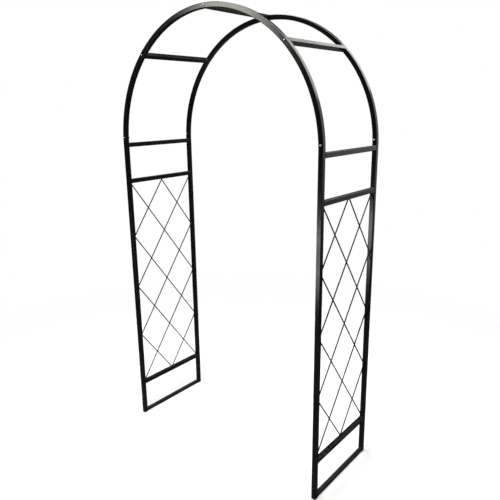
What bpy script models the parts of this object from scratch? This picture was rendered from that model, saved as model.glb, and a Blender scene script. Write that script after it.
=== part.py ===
"""Garden arch of square steel tube: two lattice side frames joined by two bent rails.

X runs across the passage, Y along it and Z up. The origin is on the ground, midway
between the four feet. All sizes are in metres.
"""

import math

import bmesh
import bpy
from mathutils import Matrix, Vector

# Overall sizes, measured over the tubes.
WIDTH = 1.220
HEIGHT = 2.200
DEPTH = 0.480

# Square tube of the posts, the bars and the arch rails.
TUBE = 0.022
TUBE_WALL = 0.001
TUBE_CORNER = 0.0022
CORNER_SEGMENTS = 2

# Thinner tube of the bottom bars.
BOTTOM_TUBE = 0.018
BOTTOM_CORNER = 0.0018

# Bars of a side frame: heights of their middles.
LOWER_BAR_HEIGHT = 0.195
UPPER_BAR_DROP = 0.191

# Lattice of round wire between the two lattice bars.
WIRE_DIAMETER = 0.0060
WIRE_SIDES = 8
LATTICE_CELLS = 4
CELLS_PER_CROSSING = 2
WIRE_OVERRUN = 0.020

# Arch rails and what joins them.
RAIL_STEPS = 48
CROSS_BAR_ANGLES = {"left": 45.0, "top": 90.0, "right": 135.0}
END_PLATE = 0.003

# Inserts between the posts and the rails.
INSERT_WALL = 0.0015
INSERT_DEPTH = 0.060
INSERT_RAIL_STEPS = 1

# Fasteners.
BOLT_DIAMETER = 0.0050
BOLT_CLEARANCE = 0.0003
BOLT_RISE = 0.0265
BOLT_TAIL = 0.011
SCREW_TAIL = 0.008
HEAD_DIAMETER = 0.0095
HEAD_HEIGHT = 0.0028
SOCKET_ACROSS_FLATS = 0.0030
SOCKET_DEPTH = 0.0016
TURNED_STEPS = 16
NUT_ACROSS_FLATS = 0.0080
NUT_THICKNESS = 0.0040

# Air left between pieces that touch.
GAP = 0.0003

# Values that follow from the ones above.
HALF_TUBE = TUBE / 2
POST_X = (WIDTH - TUBE) / 2
POST_Y = (DEPTH - TUBE) / 2
RAIL_RADIUS = POST_X
JOINT_HEIGHT = HEIGHT - HALF_TUBE - RAIL_RADIUS
TOP_BAR_HEIGHT = JOINT_HEIGHT - HALF_TUBE
UPPER_BAR_HEIGHT = TOP_BAR_HEIGHT - UPPER_BAR_DROP
RAIL_STEP_ANGLE = math.pi / RAIL_STEPS
BAR_SPAN = 2 * (POST_Y - HALF_TUBE - GAP)
SIDES = {"left": -1, "right": 1}
ENDS = {"front": -1, "back": 1}

# Finishes: base colour, roughness and metallic value.
FINISHES = {
    "post_paint": ((0.012, 0.012, 0.012), 0.38, 0.0),
    "bar_paint": ((0.013, 0.013, 0.012), 0.40, 0.0),
    "bottom_bar_paint": ((0.012, 0.011, 0.011), 0.45, 0.0),
    "wire_paint": ((0.014, 0.014, 0.014), 0.42, 0.0),
    "rail_paint": ((0.013, 0.013, 0.013), 0.33, 0.0),
    "cross_bar_paint": ((0.014, 0.014, 0.013), 0.36, 0.0),
    "insert_steel": ((0.30, 0.30, 0.29), 0.45, 1.0),
    "bolt_zinc": ((0.42, 0.41, 0.38), 0.34, 1.0),
    "screw_zinc": ((0.40, 0.39, 0.37), 0.34, 1.0),
    "nut_zinc": ((0.40, 0.40, 0.38), 0.38, 1.0),
}


def clear_scene():
    """Remove everything that the scene holds."""
    for obj in list(bpy.data.objects):
        bpy.data.objects.remove(obj, do_unlink=True)


def new_collection(name):
    """Return a new collection linked to the scene."""
    collection = bpy.data.collections.new(name)
    bpy.context.scene.collection.children.link(collection)
    return collection


def new_empty(name, collection, parent=None):
    """Return an empty that holds a group of pieces together."""
    empty = bpy.data.objects.new(name, None)
    empty.parent = parent
    collection.objects.link(empty)
    return empty


def new_material(name):
    """Return a Principled material with one of the finishes."""
    colour, roughness, metallic = FINISHES[name]
    material = bpy.data.materials.new(name)
    material.use_nodes = True
    shader = material.node_tree.nodes["Principled BSDF"]
    shader.inputs["Base Color"].default_value = (*colour, 1.0)
    shader.inputs["Roughness"].default_value = roughness
    shader.inputs["Metallic"].default_value = metallic
    return material


def new_piece(name, mesh, collection, parent, location=(0, 0, 0), rotation=(0, 0, 0)):
    """Return a piece placed under its group's empty."""
    piece = bpy.data.objects.new(name, mesh)
    piece.parent = parent
    piece.location = location
    piece.rotation_euler = rotation
    collection.objects.link(piece)
    return piece


def new_cutter(name, mesh, collection, location=(0, 0, 0), rotation=(0, 0, 0)):
    """Return a helper that only shapes other pieces."""
    cutter = new_piece(name, mesh, collection, None, location, rotation)
    cutter.hide_render = True
    cutter.display_type = "WIRE"
    return cutter


def add_boolean(piece, cutter, operation):
    """Cut a piece with a cutter, or keep only what they share."""
    modifier = piece.modifiers.new(cutter.name, "BOOLEAN")
    modifier.operation = operation
    modifier.solver = "EXACT"
    modifier.object = cutter


def finish_mesh(bm, name, material=None):
    """Turn a bmesh into a mesh with outward faces, smooth where it is round."""
    bmesh.ops.recalc_face_normals(bm, faces=bm.faces)
    mesh = bpy.data.meshes.new(name)
    bm.to_mesh(mesh)
    bm.free()
    mesh.shade_smooth()
    mesh.set_sharp_from_angle(angle=math.radians(35))
    if material:
        mesh.materials.append(material)
    return mesh


def square_profile(size, corner, wall=None):
    """Return a bmesh with a round-cornered square face at the origin, facing +Z.

    With a wall, the face is the ring that a square tube shows at its cut end.
    """
    bm = bmesh.new()
    bmesh.ops.create_grid(bm, x_segments=1, y_segments=1, size=size / 2)
    bmesh.ops.bevel(
        bm,
        geom=bm.verts[:],
        offset=corner,
        offset_type="OFFSET",
        segments=CORNER_SEGMENTS,
        profile=0.5,
        affect="VERTICES",
    )
    if wall:
        inside = bm.faces[:]
        bmesh.ops.inset_region(
            bm, faces=inside, thickness=wall, use_boundary=True, use_even_offset=True
        )
        bmesh.ops.delete(bm, geom=inside, context="FACES")
    return bm


def extrude(bm, faces, vector):
    """Extrude faces along a vector and return the faces at the far end."""
    grown = bmesh.ops.extrude_face_region(bm, geom=faces, use_keep_orig=True)["geom"]
    moved = {item for item in grown if isinstance(item, bmesh.types.BMVert)}
    bmesh.ops.translate(bm, verts=list(moved), vec=vector)
    return [face for face in bm.faces if moved.issuperset(face.verts)]


def bar_mesh(name, size, corner, length, material, wall=None):
    """Return a square bar or tube along Z, centred on the origin."""
    bm = square_profile(size, corner, wall)
    bmesh.ops.translate(bm, verts=bm.verts, vec=(0, 0, -length / 2))
    extrude(bm, bm.faces[:], (0, 0, length))
    return finish_mesh(bm, name, material)


def bend(bm, faces, steps):
    """Sweep faces that face +Z round the arch's centre, which lies at +X."""
    bmesh.ops.spin(
        bm,
        geom=faces,
        cent=(RAIL_RADIUS, 0, 0),
        axis=(0, 1, 0),
        dvec=(0, 0, 0),
        angle=steps * RAIL_STEP_ANGLE,
        steps=steps,
        use_merge=False,
        use_normal_flip=False,
        use_duplicate=False,
    )


def rail_mesh(material):
    """Return the half circle of tube that starts at the origin and rises to +Z."""
    bm = square_profile(TUBE, TUBE_CORNER, TUBE_WALL)
    bend(bm, bm.faces[:], RAIL_STEPS)
    return finish_mesh(bm, "arch_rail", material)


def insert_mesh(material):
    """Return an insert: straight below the joint, bent with the rail above it."""
    size = TUBE - 2 * TUBE_WALL - 2 * GAP
    bm = square_profile(size, TUBE_CORNER, INSERT_WALL)
    bmesh.ops.translate(bm, verts=bm.verts, vec=(0, 0, -INSERT_DEPTH))
    top = extrude(bm, bm.faces[:], (0, 0, INSERT_DEPTH))
    bend(bm, top, INSERT_RAIL_STEPS)
    bmesh.ops.delete(bm, geom=top, context="FACES_ONLY")
    return finish_mesh(bm, "joint_insert", material)


def rod_mesh(name, radius, length, sides, material=None):
    """Return a round or hexagonal rod along Z, centred on the origin."""
    bm = bmesh.new()
    bmesh.ops.create_cone(
        bm,
        cap_ends=True,
        segments=sides,
        radius1=radius,
        radius2=radius,
        depth=length,
    )
    return finish_mesh(bm, name, material)


def hexagon_radius(across_flats):
    """Return the corner radius of a hexagon with this size across its flats."""
    return across_flats / 2 / math.cos(math.radians(30))


def box_mesh(name, size):
    """Return a box of the given size, centred on the origin."""
    bm = bmesh.new()
    bmesh.ops.create_cube(bm, size=1.0)
    bmesh.ops.scale(bm, verts=bm.verts, vec=size)
    return finish_mesh(bm, name)


def baked_mesh(piece, name):
    """Return a piece's evaluated mesh, and remove the piece."""
    bpy.context.view_layer.update()
    graph = bpy.context.evaluated_depsgraph_get()
    mesh = bpy.data.meshes.new_from_object(piece.evaluated_get(graph))
    mesh.name = name
    bpy.data.objects.remove(piece, do_unlink=True)
    return mesh


def button_head_profile(length):
    """Return the half outline of a button-head bolt, from the head's crown down.

    The underside of the head is at the origin and the shank runs to -Z.
    """
    head_radius = HEAD_DIAMETER / 2
    crown_radius = SOCKET_ACROSS_FLATS
    rim_height = HEAD_HEIGHT * 0.25
    points = [(0.0, HEAD_HEIGHT), (crown_radius, HEAD_HEIGHT)]
    for step in (1, 2, 3):
        turn = math.radians(30 * step)
        x = crown_radius + (head_radius - crown_radius) * math.sin(turn)
        z = rim_height + (HEAD_HEIGHT - rim_height) * math.cos(turn)
        points.append((x, z))
    shank_radius = BOLT_DIAMETER / 2
    chamfer = shank_radius * 0.25
    points += [
        (head_radius, 0.0),
        (shank_radius, 0.0),
        (shank_radius, chamfer - length),
        (shank_radius - chamfer, -length),
        (0.0, -length),
    ]
    return points


def bolt_mesh(name, length, collection, material):
    """Return a turned button-head bolt with a hexagonal socket."""
    outline = bpy.data.meshes.new(name + "_outline")
    points = [(x, 0.0, z) for x, z in button_head_profile(length)]
    edges = [(i, i + 1) for i in range(len(points) - 1)]
    outline.from_pydata(points, edges, [])
    outline.materials.append(material)
    blank = new_piece(name + "_blank", outline, collection, None)
    turning = blank.modifiers.new("turning", "SCREW")
    turning.axis = "Z"
    turning.angle = math.tau
    turning.steps = TURNED_STEPS
    turning.render_steps = TURNED_STEPS
    turning.use_merge_vertices = True
    turning.merge_threshold = 0.00001
    turning.use_smooth_shade = True
    socket = new_cutter(
        name + "_socket",
        rod_mesh(name + "_socket", hexagon_radius(SOCKET_ACROSS_FLATS), 2 * SOCKET_DEPTH, 6),
        collection,
        location=(0, 0, HEAD_HEIGHT),
    )
    add_boolean(blank, socket, "DIFFERENCE")
    mesh = baked_mesh(blank, name)
    bpy.data.objects.remove(socket, do_unlink=True)
    return mesh


def nut_mesh(collection, material):
    """Return a hexagonal nut with a plain bore."""
    radius = hexagon_radius(NUT_ACROSS_FLATS)
    blank = new_piece("nut_blank", rod_mesh("nut", radius, NUT_THICKNESS, 6, material), collection, None)
    bore_radius = BOLT_DIAMETER / 2 + BOLT_CLEARANCE
    bore = new_cutter(
        "nut_bore", rod_mesh("nut_bore", bore_radius, 2 * NUT_THICKNESS, TURNED_STEPS), collection
    )
    add_boolean(blank, bore, "DIFFERENCE")
    mesh = baked_mesh(blank, "nut")
    bpy.data.objects.remove(bore, do_unlink=True)
    return mesh


def rail_point(angle):
    """Return X and Z on the rail's middle line, at an angle from the left joint."""
    x = -RAIL_RADIUS * math.cos(angle)
    z = JOINT_HEIGHT + RAIL_RADIUS * math.sin(angle)
    return x, z


def joint_angles():
    """Return the angles of the joint bolts on the left and the right."""
    angle = math.asin(BOLT_RISE / RAIL_RADIUS)
    return {"left": angle, "right": math.pi - angle}


def fastener_bores(collection):
    """Return one cutter that holds every bolt and screw hole through the arch."""
    bm = bmesh.new()
    radius = BOLT_DIAMETER / 2 + BOLT_CLEARANCE
    angles = list(joint_angles().values())
    angles += [math.radians(angle) for angle in CROSS_BAR_ANGLES.values()]
    for angle in angles:
        x, z = rail_point(angle)
        place = Matrix.Translation((x, 0, z)) @ Matrix.Rotation(math.pi / 2, 4, "X")
        bmesh.ops.create_cone(
            bm,
            cap_ends=True,
            segments=TURNED_STEPS,
            radius1=radius,
            radius2=radius,
            depth=DEPTH + 4 * TUBE,
            matrix=place,
        )
    return new_cutter("fastener_bores", finish_mesh(bm, "fastener_bores"), collection)


def build_posts(collection, group, material):
    """Stand the four posts on the ground, up to the arch joints."""
    length = JOINT_HEIGHT - GAP
    mesh = bar_mesh("post", TUBE, TUBE_CORNER, length, material, TUBE_WALL)
    for side, x_sign in SIDES.items():
        for end, y_sign in ENDS.items():
            location = (x_sign * POST_X, y_sign * POST_Y, length / 2)
            new_piece(f"post_{end}_{side}", mesh, collection, group[side], location)


def build_side_bars(collection, group, materials):
    """Set the four bars of each side frame between its posts."""
    wide = bar_mesh("side_bar", TUBE, TUBE_CORNER, BAR_SPAN, materials["bar_paint"], TUBE_WALL)
    thin = bar_mesh(
        "bottom_bar", BOTTOM_TUBE, BOTTOM_CORNER, BAR_SPAN, materials["bottom_bar_paint"], TUBE_WALL
    )
    bars = {
        "top_bar": (wide, TOP_BAR_HEIGHT),
        "upper_lattice_bar": (wide, UPPER_BAR_HEIGHT),
        "lower_lattice_bar": (wide, LOWER_BAR_HEIGHT),
        "bottom_bar": (thin, BOTTOM_TUBE / 2),
    }
    for side, x_sign in SIDES.items():
        for name, (mesh, height) in bars.items():
            location = (x_sign * POST_X, 0, height)
            new_piece(f"{name}_{side}", mesh, collection, group[side], location, (math.pi / 2, 0, 0))


def lattice_lines():
    """Return the five wires of one layer as (start, end) pairs.

    Each point is (share of the width from front to back, depth in cells from the top).
    A wire drops CELLS_PER_CROSSING cells on its way from front to back.
    """
    lines = []
    for first in range(1 - CELLS_PER_CROSSING, LATTICE_CELLS):
        last = first + CELLS_PER_CROSSING
        start = max(first, 0)
        end = min(last, LATTICE_CELLS)
        start_share = (start - first) / CELLS_PER_CROSSING
        end_share = (end - first) / CELLS_PER_CROSSING
        lines.append(((start_share, start), (end_share, end)))
    return lines


def build_lattice(collection, cutters, group, material):
    """Lay two layers of wire across each side frame, trimmed to its opening."""
    half_width = POST_Y - HALF_TUBE
    top = UPPER_BAR_HEIGHT - HALF_TUBE
    bottom = LOWER_BAR_HEIGHT + HALF_TUBE
    cell = (top - bottom) / LATTICE_CELLS
    layer_offset = (WIRE_DIAMETER + GAP) / 2
    opening = box_mesh("opening", (2 * TUBE, 2 * (half_width - GAP), top - bottom - 2 * GAP))
    for side, x_sign in SIDES.items():
        middle = (x_sign * POST_X, 0, (top + bottom) / 2)
        trimmer = new_cutter(f"lattice_opening_{side}", opening, cutters, middle)
        for layer, y_sign in (("falling", 1), ("rising", -1)):
            x = x_sign * (POST_X + y_sign * layer_offset)
            for number, (start, end) in enumerate(lattice_lines(), 1):
                ends = [
                    Vector((x, y_sign * half_width * (2 * share - 1), top - depth * cell))
                    for share, depth in (start, end)
                ]
                along = ends[1] - ends[0]
                length = along.length + 2 * WIRE_OVERRUN
                mesh = rod_mesh("lattice_wire", WIRE_DIAMETER / 2, length, WIRE_SIDES, material)
                wire = new_piece(
                    f"lattice_wire_{side}_{layer}_{number}",
                    mesh,
                    collection,
                    group[side],
                    (ends[0] + ends[1]) / 2,
                    along.to_track_quat("Z", "X").to_euler(),
                )
                add_boolean(wire, trimmer, "INTERSECT")


def build_inserts(collection, group, bores, material):
    """Put an insert in each joint, mirrored on the right so that it bends inwards."""
    mesh = insert_mesh(material)
    for side, x_sign in SIDES.items():
        for end, y_sign in ENDS.items():
            location = (x_sign * POST_X, y_sign * POST_Y, JOINT_HEIGHT)
            turn = (0, 0, 0 if x_sign < 0 else math.pi)
            insert = new_piece(
                f"joint_insert_{end}_{side}", mesh, collection, group[side], location, turn
            )
            add_boolean(insert, bores, "DIFFERENCE")


def build_rails(collection, group, bores, material):
    """Set the front and back rails on the post tops."""
    mesh = rail_mesh(material)
    for end, y_sign in ENDS.items():
        location = (-POST_X, y_sign * POST_Y, JOINT_HEIGHT)
        rail = new_piece(f"arch_rail_{end}", mesh, collection, group, location)
        add_boolean(rail, bores, "DIFFERENCE")


def build_cross_bars(collection, cutters, group, bores, material):
    """Join the rails with hollow bars that have a tapped plate in each end."""
    bar = bar_mesh("cross_bar", TUBE, TUBE_CORNER, BAR_SPAN, material)
    inner_size = TUBE - 2 * TUBE_WALL
    inner_corner = TUBE_CORNER - TUBE_WALL
    hollow = bar_mesh("cross_bar_hollow", inner_size, inner_corner, BAR_SPAN - 2 * END_PLATE, None)
    for name, degrees in CROSS_BAR_ANGLES.items():
        angle = math.radians(degrees)
        x, z = rail_point(angle)
        turn = (math.pi / 2, angle, 0)
        cross_bar = new_piece(f"arch_cross_bar_{name}", bar, collection, group, (x, 0, z), turn)
        cutter = new_cutter(f"cross_bar_hollow_{name}", hollow, cutters, (x, 0, z), turn)
        add_boolean(cross_bar, cutter, "DIFFERENCE")
        add_boolean(cross_bar, bores, "DIFFERENCE")


def build_joint_bolts(collection, group, materials):
    """Bolt the rails to the inserts, heads outwards, with a nut behind each rail."""
    shank = GAP + TUBE + BOLT_TAIL
    bolt = bolt_mesh("joint_bolt", shank, collection, materials["bolt_zinc"])
    nut = nut_mesh(collection, materials["nut_zinc"])
    for side, angle in joint_angles().items():
        x, z = rail_point(angle)
        for end, y_sign in ENDS.items():
            head_y = y_sign * (POST_Y + HALF_TUBE + GAP)
            nut_y = y_sign * (POST_Y - HALF_TUBE - GAP - NUT_THICKNESS / 2)
            turn = (-y_sign * math.pi / 2, 0, 0)
            new_piece(f"joint_bolt_{end}_{side}", bolt, collection, group, (x, head_y, z), turn)
            new_piece(f"joint_nut_{end}_{side}", nut, collection, group, (x, nut_y, z), turn)


def build_cross_bar_screws(collection, group, material):
    """Screw each arch cross bar to the rails, through the rails' outer faces."""
    shank = GAP + TUBE + GAP + END_PLATE + SCREW_TAIL
    screw = bolt_mesh("cross_bar_screw", shank, collection, material)
    for name, degrees in CROSS_BAR_ANGLES.items():
        x, z = rail_point(math.radians(degrees))
        for end, y_sign in ENDS.items():
            location = (x, y_sign * (POST_Y + HALF_TUBE + GAP), z)
            turn = (-y_sign * math.pi / 2, 0, 0)
            new_piece(f"cross_bar_screw_{end}_{name}", screw, collection, group, location, turn)


def main():
    """Build the whole arch."""
    clear_scene()
    pieces = new_collection("trellis_arch")
    cutters = new_collection("trellis_arch_cutters")
    materials = {name: new_material(name) for name in FINISHES}
    whole = new_empty("trellis_arch", pieces)
    side_groups = {side: new_empty(f"side_frame_{side}", pieces, whole) for side in SIDES}
    arch_group = new_empty("arch_top", pieces, whole)
    bores = fastener_bores(cutters)
    build_posts(pieces, side_groups, materials["post_paint"])
    build_side_bars(pieces, side_groups, materials)
    build_lattice(pieces, cutters, side_groups, materials["wire_paint"])
    build_inserts(pieces, side_groups, bores, materials["insert_steel"])
    build_rails(pieces, arch_group, bores, materials["rail_paint"])
    build_cross_bars(pieces, cutters, arch_group, bores, materials["cross_bar_paint"])
    build_joint_bolts(pieces, arch_group, materials)
    build_cross_bar_screws(pieces, arch_group, materials["screw_zinc"])
    bpy.context.view_layer.update()


main()
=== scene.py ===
"""Looks of the garden arch: tubes, wires, welds and fasteners, and a plain studio.

All sizes are in metres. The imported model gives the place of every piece.
"""

import math

import bmesh
import bpy
from bpy.props import FloatProperty, FloatVectorProperty, IntProperty, PointerProperty
from bpy.types import Operator, Panel, PropertyGroup
from mathutils import Euler, Matrix, Quaternion, Vector, noise


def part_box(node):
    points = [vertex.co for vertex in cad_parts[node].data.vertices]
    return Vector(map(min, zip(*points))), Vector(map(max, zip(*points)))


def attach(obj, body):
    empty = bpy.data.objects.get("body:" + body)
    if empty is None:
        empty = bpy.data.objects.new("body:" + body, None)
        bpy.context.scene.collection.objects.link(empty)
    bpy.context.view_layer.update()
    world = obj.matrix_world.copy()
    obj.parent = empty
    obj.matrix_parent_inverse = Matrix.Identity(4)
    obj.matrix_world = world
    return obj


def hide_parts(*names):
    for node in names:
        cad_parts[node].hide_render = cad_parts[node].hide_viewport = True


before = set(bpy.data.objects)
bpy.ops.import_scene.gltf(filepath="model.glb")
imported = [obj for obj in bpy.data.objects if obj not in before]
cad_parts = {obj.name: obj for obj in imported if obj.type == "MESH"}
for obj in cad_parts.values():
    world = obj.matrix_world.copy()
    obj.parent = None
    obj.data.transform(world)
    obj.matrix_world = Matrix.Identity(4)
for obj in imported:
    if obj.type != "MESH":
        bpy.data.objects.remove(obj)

bl_info = {
    "name": "Garden Arch",
    "version": (1, 0, 0),
    "blender": (4, 5, 0),
    "location": "3D View > Sidebar > Garden Arch",
    "description": "Builds the finished pieces of a steel garden arch and its studio",
    "category": "Object",
}

SIDES = {"left": -1, "right": 1}
ENDS = {"front": -1, "back": 1}
CROSS_BARS = ("left", "top", "right")
SIDE_BARS = ("top_bar", "upper_lattice_bar", "lower_lattice_bar", "bottom_bar")
LATTICE_CELLS = 4
CELLS_PER_CROSSING = 2
LATTICE_WIRES = 5

# Width of the band at a tube's cut end where the coat wears.
CUT_BAND = 0.0015

# Spare length of a wire before its ends are cut flush.
WIRE_SPARE = 0.04

# Weld metal: facets round a bead, height of a spot and how far it sinks in.
BEAD_STEPS = 10
SPOT_HEIGHT = 0.0022
SPOT_SINK = 0.0004

# Bolts, screws and nuts.
TURNED_POINTS = 48
HEAD_HEIGHT = 0.0028
HEAD_CROWN = 0.0024
HEAD_RIM = 0.0005
DOME_STEPS = 8
SOCKET = 0.0030
SOCKET_DEPTH = 0.0016
SHANK_RADIUS = 0.0025
SHANK_NECK = 0.0005
TURNED_CHAMFER = 0.0002
NUT_BORE = 0.00262
NUT_CHAMFER = 0.0004
PLATED_EDGE_DEGREES = 25
PLATED_SMOOTH_DEGREES = 30

# Studio floor: its radius, how far it lies below the feet and where its rim fades.
FLOOR_RADIUS = 14.0
FLOOR_DROP = 0.0004
FADE_START = 1.1
FADE_END = 2.9

# Camera: place in metres, yaw, pitch and roll in degrees, lens and sensor in millimetres.
CAMERA_PLACE = (1.7144, -2.0460, 1.7702)
CAMERA_TURNS = (39.23, 15.06, -0.744)
CAMERA_LENS = 38.56
CAMERA_SENSOR = 36.0


def middle(node):
    """Return the middle of a node's box."""
    low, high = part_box(node)
    return (low + high) / 2


def extent(node):
    """Return the size of a node's box along X, Y and Z."""
    low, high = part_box(node)
    return high - low


TUBE = extent("post_front_right").x
POST_X = middle("post_front_right").x
POST_Y = middle("post_back_right").y
JOINT_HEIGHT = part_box("arch_rail_front")[0].z
RAIL_RADIUS = POST_X
WIRE_DIAMETER = extent("lattice_wire_right_rising_3").x
OPENING_HALF_WIDTH = POST_Y - TUBE / 2
OPENING_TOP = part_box("upper_lattice_bar_right")[0].z
OPENING_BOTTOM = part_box("lower_lattice_bar_right")[1].z
CELL = (OPENING_TOP - OPENING_BOTTOM) / LATTICE_CELLS
HEAD_DIAMETER = extent("joint_bolt_front_left").x
NUT_THICKNESS = extent("joint_nut_front_left").y
NUT_ACROSS_FLATS = min(extent("joint_nut_front_left").x, extent("joint_nut_front_left").z)


class GardenArchSizes(PropertyGroup):
    """Sizes of the details that finish the arch."""

    corner_radius: FloatProperty(
        name="Tube Corner",
        description="Outer radius of the square tube's corners",
        default=0.0022,
        min=0.0005,
        max=0.004,
        precision=4,
        unit="LENGTH",
    )
    tube_wall: FloatProperty(
        name="Tube Wall",
        description="Wall thickness of the square tubes",
        default=0.001,
        min=0.0006,
        max=0.002,
        precision=4,
        unit="LENGTH",
    )
    corner_steps: IntProperty(
        name="Corner Steps",
        description="Facets round each corner of a square tube",
        default=5,
        min=2,
        max=12,
    )
    rail_steps: IntProperty(
        name="Rail Steps",
        description="Facets along each bent rail",
        default=180,
        min=48,
        max=360,
    )
    wire_sides: IntProperty(
        name="Wire Sides",
        description="Facets round each lattice wire",
        default=20,
        min=8,
        max=48,
    )
    weld_radius: FloatProperty(
        name="Weld Bead",
        description="Radius of the weld bead round the end of each bar",
        default=0.0011,
        min=0.0004,
        max=0.003,
        precision=4,
        unit="LENGTH",
    )
    weld_ripple: FloatProperty(
        name="Weld Ripple",
        description="Length of one ripple along a weld bead",
        default=0.0022,
        min=0.001,
        max=0.006,
        precision=4,
        unit="LENGTH",
    )
    wire_weld: FloatProperty(
        name="Wire Weld",
        description="Radius of the weld spot at the end of each lattice wire",
        default=0.0040,
        min=0.002,
        max=0.008,
        precision=4,
        unit="LENGTH",
    )
    thread_pitch: FloatProperty(
        name="Thread Pitch",
        description="Distance between the thread's crests on bolts and screws",
        default=0.0008,
        min=0.0004,
        max=0.0015,
        precision=4,
        unit="LENGTH",
    )


class GardenArchFinish(PropertyGroup):
    """Colours and gloss of the arch's finishes."""

    coat_colour: FloatVectorProperty(
        name="Powder Coat",
        description="Colour of the powder coat on all tubes and wires",
        default=(0.0052, 0.0052, 0.0050),
        size=3,
        min=0.0,
        max=1.0,
        subtype="COLOR",
    )
    dust_colour: FloatVectorProperty(
        name="Ground Dust",
        description="Colour of the dust that settles near the ground",
        default=(0.030, 0.024, 0.018),
        size=3,
        min=0.0,
        max=1.0,
        subtype="COLOR",
    )
    zinc_colour: FloatVectorProperty(
        name="Zinc",
        description="Colour of the zinc plating on bolts, nuts and screws",
        default=(0.62, 0.60, 0.55),
        size=3,
        min=0.0,
        max=1.0,
        subtype="COLOR",
    )
    steel_colour: FloatVectorProperty(
        name="Bare Steel",
        description="Colour of the inserts hidden in the joints",
        default=(0.36, 0.35, 0.33),
        size=3,
        min=0.0,
        max=1.0,
        subtype="COLOR",
    )
    floor_colour: FloatVectorProperty(
        name="Floor",
        description="Colour of the studio floor",
        default=(0.95, 0.95, 0.95),
        size=3,
        min=0.0,
        max=1.0,
        subtype="COLOR",
    )


def new_group(name, inputs, outputs):
    """Return an empty shader group with its input and output nodes."""
    group = bpy.data.node_groups.new(name, "ShaderNodeTree")
    for title, kind, value in inputs:
        socket = group.interface.new_socket(title, in_out="INPUT", socket_type=kind)
        if value is not None:
            socket.default_value = value
    for title, kind in outputs:
        group.interface.new_socket(title, in_out="OUTPUT", socket_type=kind)
    entry = group.nodes.new("NodeGroupInput")
    leave = group.nodes.new("NodeGroupOutput")
    return group, entry, leave


def add_node(tree, kind, values=None, **settings):
    """Return a new node, with some of its settings and input values changed."""
    node = tree.nodes.new(kind)
    for key, value in settings.items():
        setattr(node, key, value)
    for key, value in (values or {}).items():
        node.inputs[key].default_value = value
    return node


def math_node(tree, operation, first, second, clamp=False):
    """Return the output of a math node fed with sockets or numbers."""
    node = tree.nodes.new("ShaderNodeMath")
    node.operation = operation
    node.use_clamp = clamp
    for index, value in enumerate((first, second)):
        if isinstance(value, bpy.types.NodeSocket):
            tree.links.new(value, node.inputs[index])
        else:
            node.inputs[index].default_value = value
    return node.outputs["Value"]


def remap(tree, value, low, high, new_low=0.0, new_high=1.0):
    """Return the output of a clamped smooth map from one range to another."""
    node = add_node(
        tree,
        "ShaderNodeMapRange",
        {"From Min": low, "From Max": high, "To Min": new_low, "To Max": new_high},
        interpolation_type="SMOOTHSTEP",
    )
    tree.links.new(value, node.inputs["Value"])
    return node.outputs["Result"]


def noise_socket(tree, vector, scale, detail=2.0, roughness=0.5):
    """Return the value of a noise texture at a scale in features per metre."""
    node = add_node(
        tree,
        "ShaderNodeTexNoise",
        {"Scale": scale, "Detail": detail, "Roughness": roughness},
    )
    tree.links.new(vector, node.inputs["Vector"])
    return node.outputs["Fac"]


def mix_colour(tree, factor, first, second):
    """Return the output of a colour mix fed with sockets or colours."""
    node = tree.nodes.new("ShaderNodeMix")
    node.data_type = "RGBA"
    for name, value in (("Factor", factor), ("A", first), ("B", second)):
        kind = "VALUE" if name == "Factor" else "RGBA"
        socket = next(s for s in node.inputs if s.name == name and s.type == kind)
        if isinstance(value, bpy.types.NodeSocket):
            tree.links.new(value, socket)
        else:
            socket.default_value = value
    return next(s for s in node.outputs if s.type == "RGBA")


def coat_grain_group():
    """Return the group for the skin of a baked powder coat."""
    known = bpy.data.node_groups.get("coat_grain")
    if known:
        return known
    group, entry, leave = new_group(
        "coat_grain",
        [
            ("Vector", "NodeSocketVector", None),
            ("Peel Scale", "NodeSocketFloat", 420.0),
            ("Grain Scale", "NodeSocketFloat", 2600.0),
        ],
        [
            ("Height", "NodeSocketFloat"),
            ("Cloud", "NodeSocketFloat"),
            ("Speck", "NodeSocketFloat"),
        ],
    )
    link = group.links.new
    peel = add_node(group, "ShaderNodeTexNoise", {"Detail": 2.0, "Roughness": 0.45})
    link(entry.outputs["Vector"], peel.inputs["Vector"])
    link(entry.outputs["Peel Scale"], peel.inputs["Scale"])
    grain = add_node(group, "ShaderNodeTexNoise", {"Detail": 1.0, "Roughness": 0.5})
    link(entry.outputs["Vector"], grain.inputs["Vector"])
    link(entry.outputs["Grain Scale"], grain.inputs["Scale"])
    fine = math_node(group, "MULTIPLY", grain.outputs["Fac"], 0.22)
    link(math_node(group, "ADD", peel.outputs["Fac"], fine), leave.inputs["Height"])
    cloud = noise_socket(group, entry.outputs["Vector"], 7.0, 3.0, 0.6)
    link(remap(group, cloud, 0.30, 0.70), leave.inputs["Cloud"])
    speck = add_node(group, "ShaderNodeTexVoronoi", {"Scale": 190.0}, feature="F1")
    link(entry.outputs["Vector"], speck.inputs["Vector"])
    spots = remap(group, speck.outputs["Distance"], 0.05, 0.16, 1.0, 0.0)
    rare = remap(group, noise_socket(group, entry.outputs["Vector"], 31.0), 0.58, 0.70)
    link(math_node(group, "MULTIPLY", spots, rare), leave.inputs["Speck"])
    return group


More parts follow.
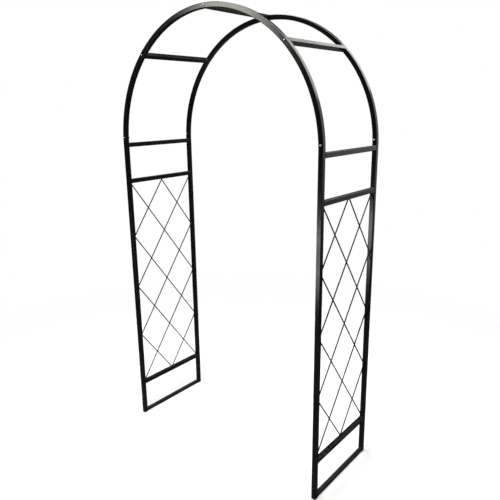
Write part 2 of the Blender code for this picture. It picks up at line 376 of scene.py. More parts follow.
def edge_wear_group():
    """Return the group that marks where handling has rubbed the corners."""
    known = bpy.data.node_groups.get("edge_wear")
    if known:
        return known
    group, entry, leave = new_group(
        "edge_wear",
        [
            ("Vector", "NodeSocketVector", None),
            ("Edge", "NodeSocketFloat", 0.0),
            ("Amount", "NodeSocketFloat", 0.5),
        ],
        [("Rubbed", "NodeSocketFloat"), ("Scratch", "NodeSocketFloat")],
    )
    link = group.links.new
    blotches = noise_socket(group, entry.outputs["Vector"], 46.0, 4.0, 0.65)
    patches = remap(group, blotches, 0.40, 0.68)
    edges = math_node(group, "MULTIPLY", entry.outputs["Edge"], patches)
    link(math_node(group, "MULTIPLY", edges, entry.outputs["Amount"]), leave.inputs["Rubbed"])
    stretch = add_node(group, "ShaderNodeMapping", {"Scale": (900.0, 900.0, 34.0)})
    link(entry.outputs["Vector"], stretch.inputs["Vector"])
    streaks = noise_socket(group, stretch.outputs["Vector"], 1.0, 2.0)
    where = remap(group, noise_socket(group, entry.outputs["Vector"], 17.0), 0.56, 0.66)
    scratch = math_node(group, "MULTIPLY", remap(group, streaks, 0.66, 0.74), where)
    link(math_node(group, "MULTIPLY", scratch, entry.outputs["Amount"]), leave.inputs["Scratch"])
    return group


def ground_dust_group():
    """Return the group that marks dust, thicker near the ground and on upper faces."""
    known = bpy.data.node_groups.get("ground_dust")
    if known:
        return known
    group, entry, leave = new_group(
        "ground_dust",
        [
            ("Vector", "NodeSocketVector", None),
            ("Reach", "NodeSocketFloat", 0.35),
        ],
        [("Dust", "NodeSocketFloat")],
    )
    link = group.links.new
    place = group.nodes.new("ShaderNodeSeparateXYZ")
    link(entry.outputs["Vector"], place.inputs["Vector"])
    share = math_node(group, "DIVIDE", place.outputs["Z"], entry.outputs["Reach"])
    low = remap(group, share, 0.0, 1.0, 1.0, 0.0)
    surface = group.nodes.new("ShaderNodeNewGeometry")
    facing = group.nodes.new("ShaderNodeSeparateXYZ")
    link(surface.outputs["Normal"], facing.inputs["Vector"])
    upper = remap(group, facing.outputs["Z"], 0.35, 0.95, 0.0, 0.45)
    both = math_node(group, "ADD", math_node(group, "MULTIPLY", low, 0.75), upper, clamp=True)
    cloud = remap(group, noise_socket(group, entry.outputs["Vector"], 58.0, 5.0, 0.7), 0.32, 0.72)
    link(math_node(group, "MULTIPLY", both, cloud), leave.inputs["Dust"])
    return group


def place_group(tree, group, values):
    """Return a group node with its unlinked inputs set."""
    node = tree.nodes.new("ShaderNodeGroup")
    node.node_tree = group
    for key, value in values.items():
        node.inputs[key].default_value = value
    return node


def start_material(name):
    """Return a new material with its shader and the object's coordinates."""
    material = bpy.data.materials.new(name)
    material.use_nodes = True
    tree = material.node_tree
    shader = tree.nodes["Principled BSDF"]
    coordinates = tree.nodes.new("ShaderNodeTexCoord")
    return material, tree, shader, coordinates.outputs["Object"]


def add_bump(tree, shader, height, strength, distance):
    """Drive the shader's normal with a height."""
    bump = add_node(tree, "ShaderNodeBump", {"Strength": strength, "Distance": distance})
    tree.links.new(height, bump.inputs["Height"])
    tree.links.new(bump.outputs["Normal"], shader.inputs["Normal"])


def coat_material(name, roughness, wear, peel=420.0, reach=0.35):
    """Return a semi-gloss powder coat, made once for each name."""
    known = bpy.data.materials.get(name)
    if known:
        return known
    finish = bpy.context.scene.garden_arch_finish
    material, tree, shader, place = start_material(name)
    link = tree.links.new
    skin = place_group(tree, coat_grain_group(), {"Peel Scale": peel})
    rubbed = place_group(tree, edge_wear_group(), {"Amount": wear})
    dust = place_group(tree, ground_dust_group(), {"Reach": reach})
    for node in (skin, rubbed, dust):
        link(place, node.inputs["Vector"])
    edge = add_node(tree, "ShaderNodeAttribute", attribute_name="edge")
    link(edge.outputs["Fac"], rubbed.inputs["Edge"])
    base = Vector(finish.coat_colour)
    deep = (*(base * 0.86), 1.0)
    light = (*(base * 1.16), 1.0)
    colour = mix_colour(tree, skin.outputs["Cloud"], deep, light)
    speck = math_node(tree, "MULTIPLY", skin.outputs["Speck"], 0.5)
    colour = mix_colour(tree, speck, colour, (*(base * 4.0), 1.0))
    colour = mix_colour(tree, rubbed.outputs["Rubbed"], colour, (*(base * 5.0), 1.0))
    colour = mix_colour(tree, rubbed.outputs["Scratch"], colour, (*(base * 7.0), 1.0))
    dusty = math_node(tree, "MULTIPLY", dust.outputs["Dust"], 0.35)
    colour = mix_colour(tree, dusty, colour, (*finish.dust_colour, 1.0))
    link(colour, shader.inputs["Base Color"])
    gloss = remap(tree, skin.outputs["Cloud"], 0.0, 1.0, roughness - 0.03, roughness + 0.03)
    duller = math_node(tree, "MULTIPLY", dust.outputs["Dust"], 0.20)
    polished = math_node(tree, "MULTIPLY", rubbed.outputs["Rubbed"], -0.08)
    gloss = math_node(tree, "ADD", gloss, duller)
    link(math_node(tree, "ADD", gloss, polished, clamp=True), shader.inputs["Roughness"])
    height = math_node(tree, "MULTIPLY", rubbed.outputs["Scratch"], -0.5)
    height = math_node(tree, "ADD", skin.outputs["Height"], height)
    add_bump(tree, shader, height, 0.06, 0.00006)
    return material


def metal_material(name, colour, roughness, stain, grain):
    """Return a plated or bare steel, made once for each name."""
    known = bpy.data.materials.get(name)
    if known:
        return known
    material, tree, shader, place = start_material(name)
    link = tree.links.new
    shader.inputs["Metallic"].default_value = 1.0
    skin = place_group(tree, coat_grain_group(), {"Peel Scale": grain, "Grain Scale": 9000.0})
    rubbed = place_group(tree, edge_wear_group(), {"Amount": 0.7})
    for node in (skin, rubbed):
        link(place, node.inputs["Vector"])
    edge = add_node(tree, "ShaderNodeAttribute", attribute_name="edge")
    link(edge.outputs["Fac"], rubbed.inputs["Edge"])
    base = Vector(colour)
    blotch = remap(tree, noise_socket(tree, place, 420.0, 4.0, 0.65), 0.35, 0.70)
    shade = mix_colour(tree, blotch, (*(base * 0.68), 1.0), (*base, 1.0))
    shade = mix_colour(tree, rubbed.outputs["Rubbed"], shade, (*(base * 1.35), 1.0))
    tarnish = math_node(tree, "MULTIPLY", skin.outputs["Speck"], stain)
    shade = mix_colour(tree, tarnish, shade, (0.10, 0.055, 0.025, 1.0))
    link(shade, shader.inputs["Base Color"])
    gloss = remap(tree, blotch, 0.0, 1.0, roughness + 0.12, roughness - 0.06)
    link(math_node(tree, "ADD", gloss, tarnish, clamp=True), shader.inputs["Roughness"])
    add_bump(tree, shader, skin.outputs["Height"], 0.25, 0.00004)
    return material


def post_paint():
    """Return the coat of the posts."""
    return coat_material("post_coat", 0.20, 0.45)


def bar_paint():
    """Return the coat of the side bars."""
    return coat_material("bar_coat", 0.24, 0.45)


def bottom_paint():
    """Return the coat of the bottom bars, duller near the ground."""
    return coat_material("bottom_bar_coat", 0.34, 0.6, reach=0.20)


def wire_paint():
    """Return the coat of the lattice wires and their welds."""
    return coat_material("wire_coat", 0.18, 0.3, peel=700.0)


def rail_paint():
    """Return the coat of the bent rails."""
    return coat_material("rail_coat", 0.16, 0.35, peel=360.0)


def cross_bar_paint():
    """Return the coat of the bars across the arch."""
    return coat_material("cross_bar_coat", 0.20, 0.35, peel=380.0)


def zinc_plate(name):
    """Return the zinc plating of a kind of fastener."""
    finish = bpy.context.scene.garden_arch_finish
    return metal_material(name, finish.zinc_colour, 0.30, 0.35, 1500.0)


def arch_collection():
    """Return the collection that holds the finished pieces."""
    known = bpy.data.collections.get("garden_arch")
    if known:
        return known
    collection = bpy.data.collections.new("garden_arch")
    bpy.context.scene.collection.children.link(collection)
    return collection


def finish_piece(bm, name, material, nodes=(), smooth_angle=40.0):
    """Make a finished piece of a bmesh, and let it stand for some nodes."""
    bmesh.ops.remove_doubles(bm, verts=bm.verts, dist=0.000002)
    bmesh.ops.recalc_face_normals(bm, faces=bm.faces)
    mesh = bpy.data.meshes.new(name)
    bm.to_mesh(mesh)
    bm.free()
    mesh.shade_smooth()
    mesh.set_sharp_from_angle(angle=math.radians(smooth_angle))
    mesh.materials.append(material)
    piece = bpy.data.objects.new(name, mesh)
    arch_collection().objects.link(piece)
    flats = piece.modifiers.new("flat_faces", "WEIGHTED_NORMAL")
    flats.keep_sharp = True
    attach(piece, "root")
    if nodes:
        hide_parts(*nodes)
    return piece


def place_mesh(bm, matrix, verts=None):
    """Move a bmesh, or some of its vertices, to its place."""
    bmesh.ops.transform(bm, matrix=matrix, verts=verts or bm.verts)


def square_profile(size, corner, wall, steps):
    """Return a bmesh with the ring of a square tube's cut end, facing +Z."""
    bm = bmesh.new()
    edge = bm.verts.layers.float.new("edge")
    bmesh.ops.create_grid(bm, x_segments=1, y_segments=1, size=size / 2)
    bmesh.ops.bevel(
        bm,
        geom=bm.verts[:],
        offset=corner,
        offset_type="OFFSET",
        segments=steps,
        profile=0.5,
        affect="VERTICES",
        material=-1,
    )
    flat = size / 2 - corner
    for vert in bm.verts:
        reach = min(abs(vert.co.x), abs(vert.co.y)) - flat
        vert[edge] = 1.0 if reach > corner * 0.05 else 0.0
    inside = bm.faces[:]
    bmesh.ops.inset_region(
        bm, faces=inside, thickness=wall, use_boundary=True, use_even_offset=True
    )
    bmesh.ops.delete(bm, geom=inside, context="FACES")
    return bm


def extrude(bm, faces, vector, keep=False):
    """Extrude faces along a vector and return the faces at the far end."""
    grown = bmesh.ops.extrude_face_region(bm, geom=faces, use_keep_orig=keep)["geom"]
    moved = {item for item in grown if isinstance(item, bmesh.types.BMVert)}
    bmesh.ops.translate(bm, verts=list(moved), vec=vector)
    return [face for face in bm.faces if moved.issuperset(face.verts)]


def straight_tube(size, length, sizes, matrix):
    """Return a square tube along its own Z, centred where the matrix puts it."""
    bm = square_profile(size, sizes.corner_radius, sizes.tube_wall, sizes.corner_steps)
    faces = extrude(bm, bm.faces[:], (0, 0, CUT_BAND), keep=True)
    faces = extrude(bm, faces, (0, 0, length - 2 * CUT_BAND))
    extrude(bm, faces, (0, 0, CUT_BAND))
    edge = bm.verts.layers.float["edge"]
    for vert in bm.verts:
        if min(vert.co.z, length - vert.co.z) < CUT_BAND / 2:
            vert[edge] = 1.0
    place_mesh(bm, matrix @ Matrix.Translation((0, 0, -length / 2)))
    return bm


def bent_tube(size, radius, sizes):
    """Return a half circle of square tube from the origin round to +X."""
    bm = square_profile(size, sizes.corner_radius, sizes.tube_wall, sizes.corner_steps)
    bmesh.ops.spin(
        bm,
        geom=bm.faces[:],
        cent=(radius, 0, 0),
        axis=(0, 1, 0),
        dvec=(0, 0, 0),
        angle=math.pi,
        steps=sizes.rail_steps,
        use_merge=False,
        use_normal_flip=False,
        use_duplicate=False,
    )
    return bm


def trim(bm, place, outward):
    """Cut off what lies beyond a plane, and close the cut."""
    cut = bmesh.ops.bisect_plane(
        bm,
        geom=bm.verts[:] + bm.edges[:] + bm.faces[:],
        plane_co=place,
        plane_no=outward,
        clear_outer=True,
    )["geom_cut"]
    edges = [item for item in cut if isinstance(item, bmesh.types.BMEdge)]
    if edges:
        bmesh.ops.edgeloop_fill(bm, edges=edges)


def loop_edges(bm, loop):
    """Return the edges between neighbours in a closed loop of vertices."""
    return [bm.edges.get((vert, after)) for vert, after in zip(loop, loop[1:] + loop[:1])]


def loft(bm, rings, joined):
    """Grow a skin through rings of points, and join or cap its two ends."""
    count = len(rings[0])
    first = bmesh.ops.create_circle(bm, segments=count, radius=1.0)["verts"]
    first.sort(key=lambda vert: math.atan2(vert.co.y, vert.co.x) % math.tau)
    for vert, point in zip(first, rings[0]):
        vert.co = point
    loop = list(first)
    for ring in rings[1:]:
        edges = loop_edges(bm, loop)
        grown = bmesh.ops.extrude_edge_only(bm, edges=edges)["geom"]
        fresh = {item for item in grown if isinstance(item, bmesh.types.BMVert)}
        following = []
        for vert, point in zip(loop, ring):
            other = next(
                e.other_vert(vert) for e in vert.link_edges if e.other_vert(vert) in fresh
            )
            other.co = point
            following.append(other)
        loop = following
    start = loop_edges(bm, first)
    end = loop_edges(bm, loop)
    if joined:
        bmesh.ops.bridge_loops(bm, edges=start + end)
    else:
        bmesh.ops.edgeloop_fill(bm, edges=start)
        bmesh.ops.edgeloop_fill(bm, edges=end)


def rounded_square(half, corner, spacing):
    """Return evenly spaced points round a square with round corners."""
    flat = 2 * (half - corner)
    arc = corner * math.pi / 2
    count = 4 * max(8, round((flat + arc) / spacing))
    points = []
    for index in range(count):
        along = 4 * (flat + arc) * index / count
        side, rest = divmod(along, flat + arc)
        turn = Matrix.Rotation(side * math.pi / 2, 2)
        if rest < flat:
            point = Vector((half, rest - flat / 2))
        else:
            angle = (rest - flat) / corner
            bend = Vector((math.cos(angle), math.sin(angle)))
            point = Vector((flat / 2, flat / 2)) + corner * bend
        points.append((turn @ point, along))
    return points


def weld_ring(bm, half, corner, sizes, matrix):
    """Lay a rippled weld bead round the end of a square bar, in the XY plane."""
    radius = sizes.weld_radius
    base = rounded_square(half, corner, sizes.weld_ripple / 4)
    rings = []
    for step in range(BEAD_STEPS):
        turn = math.tau * step / BEAD_STEPS
        ring = []
        for point, along in base:
            wobble = noise.noise(matrix.translation * 31 + Vector((point.x, point.y, 0)) * 260)
            ripple = 1 + 0.16 * math.sin(math.tau * along / sizes.weld_ripple) + 0.22 * wobble
            out = radius * (ripple * math.cos(turn) - 0.25)
            flat = point * (1 + out / half)
            ring.append(matrix @ Vector((flat.x, flat.y, radius * ripple * math.sin(turn))))
        rings.append(ring)
    loft(bm, rings, joined=True)


def weld_spot(bm, place, outward, reach, height):
    """Set a lumpy spot of weld metal on a face, domed along its outward direction."""
    turn = Vector(outward).to_track_quat("Z", "Y").to_matrix().to_4x4()
    stretch = Matrix.Diagonal((*reach, height, 1.0))
    spot = bmesh.new()
    bmesh.ops.create_icosphere(spot, subdivisions=3, radius=1.0)
    for vert in spot.verts:
        lump = noise.noise(vert.co * 1.6 + Vector(place) * 57)
        vert.co *= 1 + 0.14 * lump
    place_mesh(spot, Matrix.Translation(place) @ turn @ stretch)
    trim(spot, Vector(place) - Vector(outward) * SPOT_SINK, -Vector(outward))
    join_meshes(bm, spot)


def join_meshes(bm, other):
    """Add one bmesh to another and free it."""
    mesh = bpy.data.meshes.new("joined")
    other.to_mesh(mesh)
    other.free()
    bm.from_mesh(mesh)
    bpy.data.meshes.remove(mesh)


def circle_points(radius, height, count):
    """Return the points of a level circle."""
    return [
        Vector((radius * math.cos(t), radius * math.sin(t), height))
        for t in (math.tau * i / count for i in range(count))
    ]


def hexagon_points(across_flats, height, count, chamfer=None):
    """Return points round a hexagon, sunk beyond the chamfer's circle if there is one."""
    points = []
    for index in range(count):
        turn = math.tau * index / count
        past = (turn + math.pi / 6) % (math.pi / 3) - math.pi / 6
        radius = across_flats / 2 / math.cos(past)
        sink = 0.0
        if chamfer:
            sink = math.copysign(max(0.0, radius - abs(chamfer)) * 0.55, chamfer)
        points.append(Vector((radius * math.cos(turn), radius * math.sin(turn), height - sink)))
    return points


def bolt_body(length, sizes):
    """Return a button-head bolt, its head's underside at the origin, shank to -Z."""
    bm = bmesh.new()
    count = TURNED_POINTS
    head = HEAD_DIAMETER / 2
    pitch = sizes.thread_pitch
    floor = HEAD_HEIGHT - SOCKET_DEPTH
    rings = [
        hexagon_points(SOCKET * 0.98, floor - 0.0001, count),
        hexagon_points(SOCKET, floor, count),
        hexagon_points(SOCKET, HEAD_HEIGHT - 0.00012, count),
        hexagon_points(SOCKET * 1.06, HEAD_HEIGHT, count),
        circle_points(HEAD_CROWN, HEAD_HEIGHT, count),
    ]
    for step in range(1, DOME_STEPS + 1):
        turn = math.pi / 2 * step / DOME_STEPS
        radius = HEAD_CROWN + (head - HEAD_CROWN) * math.sin(turn)
        height = HEAD_RIM + (HEAD_HEIGHT - HEAD_RIM) * math.cos(turn)
        rings.append(circle_points(radius, height, count))
    rings.append(circle_points(head, TURNED_CHAMFER, count))
    rings.append(circle_points(head - TURNED_CHAMFER, 0.0, count))
    root = SHANK_RADIUS - pitch * 0.5
    rings.append(circle_points(root, 0.0, count))
    depth = SHANK_NECK
    while depth + pitch < length - 2 * TURNED_CHAMFER:
        rings.append(circle_points(root, -depth, count))
        rings.append(circle_points(SHANK_RADIUS, -depth - pitch * 0.44, count))
        rings.append(circle_points(SHANK_RADIUS, -depth - pitch * 0.56, count))
        depth += pitch
    rings.append(circle_points(root, -length + TURNED_CHAMFER, count))
    rings.append(circle_points(root - TURNED_CHAMFER, -length, count))
    loft(bm, rings, joined=False)
    return bm


def nut_body():
    """Return a hexagonal nut centred on the origin, with chamfered faces and bore."""
    bm = bmesh.new()
    count = TURNED_POINTS
    half = NUT_THICKNESS / 2
    rim = NUT_ACROSS_FLATS / 2 * 0.985
    rings = [
        circle_points(NUT_BORE, half - NUT_CHAMFER, count),
        circle_points(NUT_BORE + NUT_CHAMFER, half, count),
        circle_points(rim, half, count),
        hexagon_points(NUT_ACROSS_FLATS, half, count, rim),
        hexagon_points(NUT_ACROSS_FLATS, -half, count, -rim),
        circle_points(rim, -half, count),
        circle_points(NUT_BORE + NUT_CHAMFER, -half, count),
        circle_points(NUT_BORE, -half + NUT_CHAMFER, count),
    ]
    loft(bm, rings, joined=True)
    return bm


def mark_edges(bm, degrees):
    """Mark the vertices on sharp edges, where plating wears first."""
    edge = bm.verts.layers.float.new("edge")
    bm.normal_update()
    for vert in bm.verts:
        angles = [e.calc_face_angle(0.0) for e in vert.link_edges]
        vert[edge] = 1.0 if max(angles) > math.radians(degrees) else 0.0


def fastener_turn(y_sign):
    """Return the turn that points a fastener's head along Y."""
    return Matrix.Rotation(-y_sign * math.pi / 2, 4, "X")


def lattice_line(number):
    """Return start and end of a falling wire as (share of width, cells from the top)."""
    first = number - CELLS_PER_CROSSING
    last = first + CELLS_PER_CROSSING
    start = max(first, 0)
    end = min(last, LATTICE_CELLS)
    return (
        ((start - first) / CELLS_PER_CROSSING, start),
        ((end - first) / CELLS_PER_CROSSING, end),
    )


def lattice_point(share, cells, y_sign):
    """Return Y and Z of a place on the lattice."""
    y = y_sign * OPENING_HALF_WIDTH * (2 * share - 1)
    return y, OPENING_TOP - cells * CELL


def lattice_crossings():
    """Return the places where the two layers meet as (share of width, cells from the top)."""
    found = set()
    firsts = [number - CELLS_PER_CROSSING for number in range(1, LATTICE_WIRES + 1)]
    for falling in firsts:
        for rising in firsts:
            share = (rising + CELLS_PER_CROSSING - falling) / (2 * CELLS_PER_CROSSING)
            cells = falling + CELLS_PER_CROSSING * share
            if 0 <= share <= 1 and 0 <= cells <= LATTICE_CELLS:
                found.add((share, cells))
    return sorted(found)


class GARDENARCH_OT_posts(Operator):
    """Make the four posts"""

    bl_idname = "garden_arch.posts"
    bl_label = "Posts"

    def execute(self, context):
        """Make each post and let it stand for its node."""
        sizes = context.scene.garden_arch_sizes
        for side in SIDES:
            for end in ENDS:
                node = f"post_{end}_{side}"
                place = Matrix.Translation(middle(node))
                bm = straight_tube(TUBE, extent(node).z, sizes, place)
                finish_piece(bm, node + "_tube", post_paint(), [node])
        return {"FINISHED"}


class GARDENARCH_OT_side_bars(Operator):
    """Make the bars between the posts of each side frame"""

    bl_idname = "garden_arch.side_bars"
    bl_label = "Side Bars"

    def execute(self, context):
        """Make each bar and let it stand for its node."""
        sizes = context.scene.garden_arch_sizes
        along_y = Matrix.Rotation(math.pi / 2, 4, "X")
        for side in SIDES:
            for kind in SIDE_BARS:
                node = f"{kind}_{side}"
                size = extent(node)
                place = Matrix.Translation(middle(node)) @ along_y
                low = kind == "bottom_bar"
                bm = straight_tube(size.x, size.y, sizes, place)
                paint = bottom_paint() if low else bar_paint()
                finish_piece(bm, node + "_tube", paint, [node])
        return {"FINISHED"}


class GARDENARCH_OT_lattice(Operator):
    """Make the crossed wires of both side frames"""

    bl_idname = "garden_arch.lattice"
    bl_label = "Lattice"

    def execute(self, context):
        """Make each wire and let it stand for its node."""
        sizes = context.scene.garden_arch_sizes
        for side in SIDES:
            for layer, y_sign in (("falling", 1), ("rising", -1)):
                for number in range(1, LATTICE_WIRES + 1):
                    node = f"lattice_wire_{side}_{layer}_{number}"
                    x = middle(node).x
                    start, end = (
                        Vector((x, *lattice_point(*spot, y_sign)))
                        for spot in lattice_line(number)
                    )
                    bm = self.wire(start, end, sizes.wire_sides)
                    finish_piece(bm, node + "_rod", wire_paint(), [node])
        return {"FINISHED"}

    def wire(self, start, end, sides):
        """Return a wire that is cut flush with the posts and bars it runs into."""
        bm = bmesh.new()
        along = end - start
        place = Matrix.Translation((start + end) / 2)
        bmesh.ops.create_cone(
            bm,
            cap_ends=True,
            segments=sides,
            radius1=WIRE_DIAMETER / 2,
            radius2=WIRE_DIAMETER / 2,
            depth=along.length + WIRE_SPARE,
            matrix=place @ along.to_track_quat("Z", "X").to_matrix().to_4x4(),
        )
        trim(bm, (0, OPENING_HALF_WIDTH, 0), (0, 1, 0))
        trim(bm, (0, -OPENING_HALF_WIDTH, 0), (0, -1, 0))
        trim(bm, (0, 0, OPENING_TOP), (0, 0, 1))
        trim(bm, (0, 0, OPENING_BOTTOM), (0, 0, -1))
        return bm


class GARDENARCH_OT_rails(Operator):
    """Make the two bent rails of the arch"""

    bl_idname = "garden_arch.rails"
    bl_label = "Rails"

    def execute(self, context):
        """Bend each rail and let it stand for its node."""
        sizes = context.scene.garden_arch_sizes
        for end, y_sign in ENDS.items():
            node = f"arch_rail_{end}"
            bm = bent_tube(TUBE, RAIL_RADIUS, sizes)
            place_mesh(bm, Matrix.Translation((-POST_X, y_sign * POST_Y, JOINT_HEIGHT)))
            finish_piece(bm, node + "_tube", rail_paint(), [node])
        return {"FINISHED"}


class GARDENARCH_OT_cross_bars(Operator):
    """Make the bars that join the two rails"""

    bl_idname = "garden_arch.cross_bars"
    bl_label = "Cross Bars"

    def execute(self, context):
        """Make each cross bar and let it stand for its node."""
        sizes = context.scene.garden_arch_sizes
        for name in CROSS_BARS:
            node = f"arch_cross_bar_{name}"
            spot = middle(node)
            angle = math.atan2(spot.z - JOINT_HEIGHT, -spot.x)
            turn = Euler((math.pi / 2, angle, 0)).to_matrix().to_4x4()
            place = Matrix.Translation(spot) @ turn
            bm = straight_tube(TUBE, extent(node).y, sizes, place)
            finish_piece(bm, node + "_tube", cross_bar_paint(), [node])
        return {"FINISHED"}


class GARDENARCH_OT_welds(Operator):
    """Lay the welds of both side frames"""

    bl_idname = "garden_arch.welds"
    bl_label = "Welds"

    def execute(self, context):
        """Lay the beads and spots of each side frame."""
        sizes = context.scene.garden_arch_sizes
        for side, x_sign in SIDES.items():
            self.frame_welds(side, sizes)
            self.lattice_welds(side, x_sign, sizes)
        return {"FINISHED"}

    def frame_welds(self, side, sizes):
        """Lay a bead round both ends of each bar of a side frame."""
        bm = bmesh.new()
        along_y = Matrix.Rotation(math.pi / 2, 4, "X")
        for kind in SIDE_BARS:
            node = f"{kind}_{side}"
            spot = middle(node)
            half = extent(node).x / 2
            for y_sign in ENDS.values():
                place = (spot.x, y_sign * OPENING_HALF_WIDTH, spot.z)
                weld_ring(
                    bm, half, sizes.corner_radius, sizes, Matrix.Translation(place) @ along_y
                )
        trim(bm, (0, 0, 0), (0, 0, -1))
        finish_piece(bm, f"frame_welds_{side}", bar_paint())

    def lattice_welds(self, side, x_sign, sizes):
        """Set a spot of weld wherever wires meet each other, a post or a bar."""
        bm = bmesh.new()
        x = x_sign * POST_X
        reach = (WIRE_DIAMETER * 1.35, sizes.wire_weld)
        for share, cells in lattice_crossings():
            y, z = lattice_point(share, cells, 1)
            place = Vector((x, y, z))
            if share in (0, 1):
                outward = (0, 1 if share == 0 else -1, 0)
                weld_spot(bm, place, outward, reach, SPOT_HEIGHT)
            elif cells in (0, LATTICE_CELLS):
                outward = (0, 0, -1 if cells == 0 else 1)
                weld_spot(bm, place, outward, reach, SPOT_HEIGHT)
            else:
                self.crossing_weld(bm, place)
        finish_piece(bm, f"lattice_welds_{side}", wire_paint())

    def crossing_weld(self, bm, place):
        """Set the small pad of metal between two crossed wires."""
        reach = WIRE_DIAMETER * 0.46
        matrix = Matrix.Translation(place) @ Matrix.Diagonal((reach * 0.62, reach, reach, 1.0))
        bmesh.ops.create_icosphere(bm, subdivisions=3, radius=1.0, matrix=matrix)


class GARDENARCH_OT_fasteners(Operator):
    """Make the bolts, nuts and screws of the arch"""

    bl_idname = "garden_arch.fasteners"
    bl_label = "Fasteners"

    def execute(self, context):
        """Make each fastener and let it stand for its node."""
        sizes = context.scene.garden_arch_sizes
        for end, y_sign in ENDS.items():
            for side in SIDES:
                self.headed(f"joint_bolt_{end}_{side}", "bolt_zinc", y_sign, sizes)
                self.nut(f"joint_nut_{end}_{side}", y_sign)
            for name in CROSS_BARS:
                self.headed(f"cross_bar_screw_{end}_{name}", "screw_zinc", y_sign, sizes)
        return {"FINISHED"}

    def headed(self, node, slot, y_sign, sizes):
        """Make a bolt or screw with its head outside the rail."""
        low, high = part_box(node)
        spot = middle(node)
        seat = high.y - HEAD_HEIGHT if y_sign > 0 else low.y + HEAD_HEIGHT
        bm = bolt_body(high.y - low.y - HEAD_HEIGHT, sizes)
        self.finish(bm, node, slot, (spot.x, seat, spot.z), y_sign)

    def nut(self, node, y_sign):
        """Make a nut on a joint bolt's tail."""
        bm = nut_body()
        self.finish(bm, node, "nut_zinc", middle(node), y_sign)

    def finish(self, bm, node, slot, place, y_sign):
        """Plate a turned piece and set it in its place, pointing along Y."""
        mark_edges(bm, PLATED_EDGE_DEGREES)
        place_mesh(bm, Matrix.Translation(place) @ fastener_turn(y_sign))
        plate = zinc_plate(slot + "_plate")
        finish_piece(bm, node + "_turned", plate, [node], PLATED_SMOOTH_DEGREES)


class GARDENARCH_OT_inserts(Operator):
    """Finish the steel inserts inside the joints"""

    bl_idname = "garden_arch.inserts"
    bl_label = "Inserts"

    def execute(self, context):
        """Give each insert its plain steel."""
        finish = context.scene.garden_arch_finish
        steel = metal_material("insert_steel_plain", finish.steel_colour, 0.42, 0.6, 900.0)
        for side in SIDES:
            for end in ENDS:
                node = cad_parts[f"joint_insert_{end}_{side}"]
                node.material_slots[0].link = "OBJECT"
                node.material_slots[0].material = steel
        return {"FINISHED"}


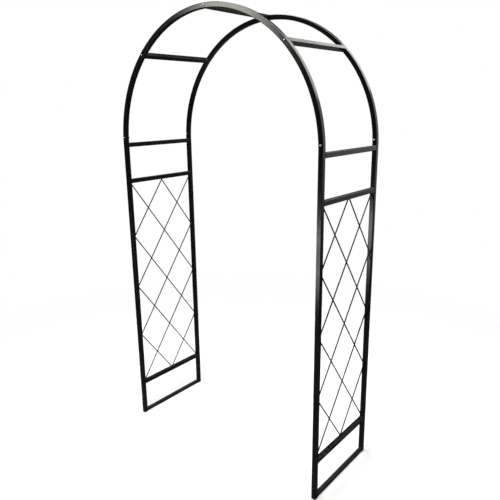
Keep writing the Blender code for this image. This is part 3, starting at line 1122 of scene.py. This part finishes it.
class GARDENARCH_OT_stage(Operator):
    """Set up the floor, the soft lights, the backdrop and the camera"""

    bl_idname = "garden_arch.stage"
    bl_label = "Studio"

    def execute(self, context):
        """Build the studio round the arch."""
        context.scene.view_settings.view_transform = "Standard"
        self.floor(context)
        self.backdrop(context)
        self.lights()
        self.camera(context)
        return {"FINISHED"}

    def floor(self, context):
        """Lay a pale round floor whose rim fades into the backdrop, and which glossy rays see as
        painted shade.
        """
        bm = bmesh.new()
        bmesh.ops.create_circle(bm, cap_ends=True, segments=96, radius=FLOOR_RADIUS)
        bmesh.ops.recalc_face_normals(bm, faces=bm.faces)
        mesh = bpy.data.meshes.new("studio_floor")
        bm.to_mesh(mesh)
        bm.free()
        floor = bpy.data.objects.new("studio_floor", mesh)
        floor.location = (0, 0, -FLOOR_DROP)
        context.scene.collection.objects.link(floor)
        material, tree, shader, place = start_material("studio_floor")
        link = tree.links.new
        colour = context.scene.garden_arch_finish.floor_colour
        grain = remap(tree, noise_socket(tree, place, 900.0, 3.0), 0.3, 0.7)
        pale = (*colour, 1.0)
        shade = mix_colour(tree, grain, pale, (*(Vector(colour) * 0.985), 1.0))
        link(shade, shader.inputs["Base Color"])
        shader.inputs["Roughness"].default_value = 0.85
        shader.inputs["Specular IOR Level"].default_value = 0.2
        distance = tree.nodes.new("ShaderNodeVectorMath")
        distance.operation = "LENGTH"
        link(place, distance.inputs[0])
        rim = remap(tree, distance.outputs["Value"], FADE_START, FADE_END)
        # Glossy rays see the floor as dark grey, not pale: painted shade in the floor's
        # reflection on the gloss of the tubes.
        rays = tree.nodes.new("ShaderNodeLightPath")
        floor_painted_shade = add_node(tree, "ShaderNodeBsdfDiffuse", {"Color": (0.05, 0.05, 0.05, 1.0)})
        clear = tree.nodes.new("ShaderNodeBsdfTransparent")
        gloss_sees_painted_shade = tree.nodes.new("ShaderNodeMixShader")
        link(rays.outputs["Is Glossy Ray"], gloss_sees_painted_shade.inputs["Fac"])
        link(shader.outputs["BSDF"], gloss_sees_painted_shade.inputs[1])
        link(floor_painted_shade.outputs["BSDF"], gloss_sees_painted_shade.inputs[2])
        fade = tree.nodes.new("ShaderNodeMixShader")
        link(rim, fade.inputs["Fac"])
        link(gloss_sees_painted_shade.outputs["Shader"], fade.inputs[1])
        link(clear.outputs["BSDF"], fade.inputs[2])
        link(fade.outputs["Shader"], tree.nodes["Material Output"].inputs["Surface"])
        mesh.materials.append(material)

    def backdrop(self, context):
        """Surround the studio with white, dimmer in what the gloss reflects."""
        world = bpy.data.worlds.new("studio")
        context.scene.world = world
        world.use_nodes = True
        tree = world.node_tree
        link = tree.links.new
        seen = tree.nodes["Background"]
        seen.inputs["Color"].default_value = (1.0, 1.0, 1.0, 1.0)
        seen.inputs["Strength"].default_value = 1.0
        around = add_node(tree, "ShaderNodeBackground", {"Color": (1.0, 0.985, 0.95, 1.0)})
        place = tree.nodes.new("ShaderNodeTexCoord")
        parts = tree.nodes.new("ShaderNodeSeparateXYZ")
        link(place.outputs["Generated"], parts.inputs["Vector"])
        # The gloss reflects a low band of light at the back, brighter towards the right,
        # and a dimmer patch from below.
        behind = remap(tree, parts.outputs["Y"], 0.66, 0.88)
        right = remap(tree, parts.outputs["X"], -0.6, 0.4, 0.13, 0.9)
        above = remap(tree, parts.outputs["Z"], -0.32, 0.05)
        below = remap(tree, parts.outputs["Z"], 0.28, 0.45, 1.0, 0.0)
        deep = remap(tree, parts.outputs["Z"], -0.50, -0.38, 0.33, 0.0)
        band = math_node(tree, "MULTIPLY", math_node(tree, "MULTIPLY", above, below), right)
        band = math_node(tree, "ADD", band, deep)
        band = math_node(tree, "MULTIPLY", band, behind)
        link(math_node(tree, "ADD", band, 0.022), around.inputs["Strength"])
        rays = tree.nodes.new("ShaderNodeLightPath")
        choose = tree.nodes.new("ShaderNodeMixShader")
        link(rays.outputs["Is Camera Ray"], choose.inputs["Fac"])
        link(around.outputs["Background"], choose.inputs[1])
        link(seen.outputs["Background"], choose.inputs[2])
        link(choose.outputs["Shader"], tree.nodes["World Output"].inputs["Surface"])

    def lights(self):
        """Hang one soft light overhead, one behind and two at the front left."""
        white = (1.0, 1.0, 1.0)
        warm = (1.0, 0.97, 0.91)
        beige = (1.0, 0.96, 0.87)
        self.softbox(
            "overhead_light",
            place=(0, -0.5, 4.6),
            target=(0, -0.1, 0.8),
            size=(3.2, 3.2),
            power=330.0,
            colour=white,
        )
        self.softbox(
            "back_light",
            place=(1.2, 4.2, 4.4),
            target=(0.4, 0, 1.9),
            size=(3.0, 2.0),
            power=62.0,
            colour=warm,
        )
        front = self.softbox(
            "front_light",
            place=(-2.527, -3.4, 2.8),
            target=(0.107, -0.8, 2.1),
            size=(0.843, 0.75),
            power=17.5,
            colour=beige,
        )
        self.softbox(
            "low_light",
            place=(-0.73, -2.4, 0.45),
            target=(0.6, -0.2, 1.15),
            size=(0.6, 0.6),
            power=5.0,
            colour=warm,
        )
        # The front light would make the back rail too pale, so it leaves it out.
        shaded = bpy.data.collections.new("kept_from_front_light")
        shaded.objects.link(bpy.data.objects["arch_rail_back_tube"])
        shaded.collection_objects[0].light_linking.link_state = "EXCLUDE"
        front.light_linking.receiver_collection = shaded

    def softbox(self, name, place, target, size, power, colour):
        """Add a rectangular soft light aimed at a point."""
        data = bpy.data.lights.new(name, "AREA")
        data.shape = "RECTANGLE"
        data.size, data.size_y = size
        data.energy = power
        data.color = colour
        light = bpy.data.objects.new(name, data)
        light.location = place
        back = Vector(place) - Vector(target)
        light.rotation_mode = "QUATERNION"
        light.rotation_quaternion = back.to_track_quat("Z", "Y")
        light.visible_camera = False
        bpy.context.scene.collection.objects.link(light)
        return light

    def camera(self, context):
        """Set the camera to the right of the arch, a little above the joints."""
        yaw, pitch, roll = (math.radians(angle) for angle in CAMERA_TURNS)
        back = Vector(
            (
                math.sin(yaw) * math.cos(pitch),
                -math.cos(yaw) * math.cos(pitch),
                math.sin(pitch),
            )
        )
        data = bpy.data.cameras.new("studio_camera")
        data.lens = CAMERA_LENS
        data.sensor_width = CAMERA_SENSOR
        camera = bpy.data.objects.new("studio_camera", data)
        camera.location = CAMERA_PLACE
        camera.rotation_mode = "QUATERNION"
        turn = back.to_track_quat("Z", "Y")
        camera.rotation_quaternion = turn @ Quaternion((0, 0, 1), roll)
        context.scene.collection.objects.link(camera)
        context.scene.camera = camera


class GARDENARCH_PT_panel(Panel):
    """Sidebar panel with the arch's sizes, finishes and steps"""

    bl_idname = "GARDENARCH_PT_panel"
    bl_label = "Garden Arch"
    bl_space_type = "VIEW_3D"
    bl_region_type = "UI"
    bl_category = "Garden Arch"

    def draw(self, context):
        """List the settings and the operators."""
        layout = self.layout
        for group in (context.scene.garden_arch_sizes, context.scene.garden_arch_finish):
            box = layout.box()
            for name in group.__annotations__:
                box.prop(group, name)
        for operator in OPERATORS:
            layout.operator(operator.bl_idname)


OPERATORS = (
    GARDENARCH_OT_posts,
    GARDENARCH_OT_side_bars,
    GARDENARCH_OT_lattice,
    GARDENARCH_OT_rails,
    GARDENARCH_OT_cross_bars,
    GARDENARCH_OT_welds,
    GARDENARCH_OT_fasteners,
    GARDENARCH_OT_inserts,
    GARDENARCH_OT_stage,
)
CLASSES = (GardenArchSizes, GardenArchFinish, *OPERATORS, GARDENARCH_PT_panel)


def register():
    """Register the classes and hang the settings on the scene."""
    for cls in CLASSES:
        bpy.utils.register_class(cls)
    bpy.types.Scene.garden_arch_sizes = PointerProperty(type=GardenArchSizes)
    bpy.types.Scene.garden_arch_finish = PointerProperty(type=GardenArchFinish)


def unregister():
    """Take the settings off the scene and unregister the classes."""
    del bpy.types.Scene.garden_arch_finish
    del bpy.types.Scene.garden_arch_sizes
    for cls in reversed(CLASSES):
        bpy.utils.unregister_class(cls)


def main():
    """Build everything."""
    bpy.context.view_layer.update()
    register()
    for operator in OPERATORS:
        group, name = operator.bl_idname.split(".")
        getattr(getattr(bpy.ops, group), name)()


if __name__ == "__main__":
    main()
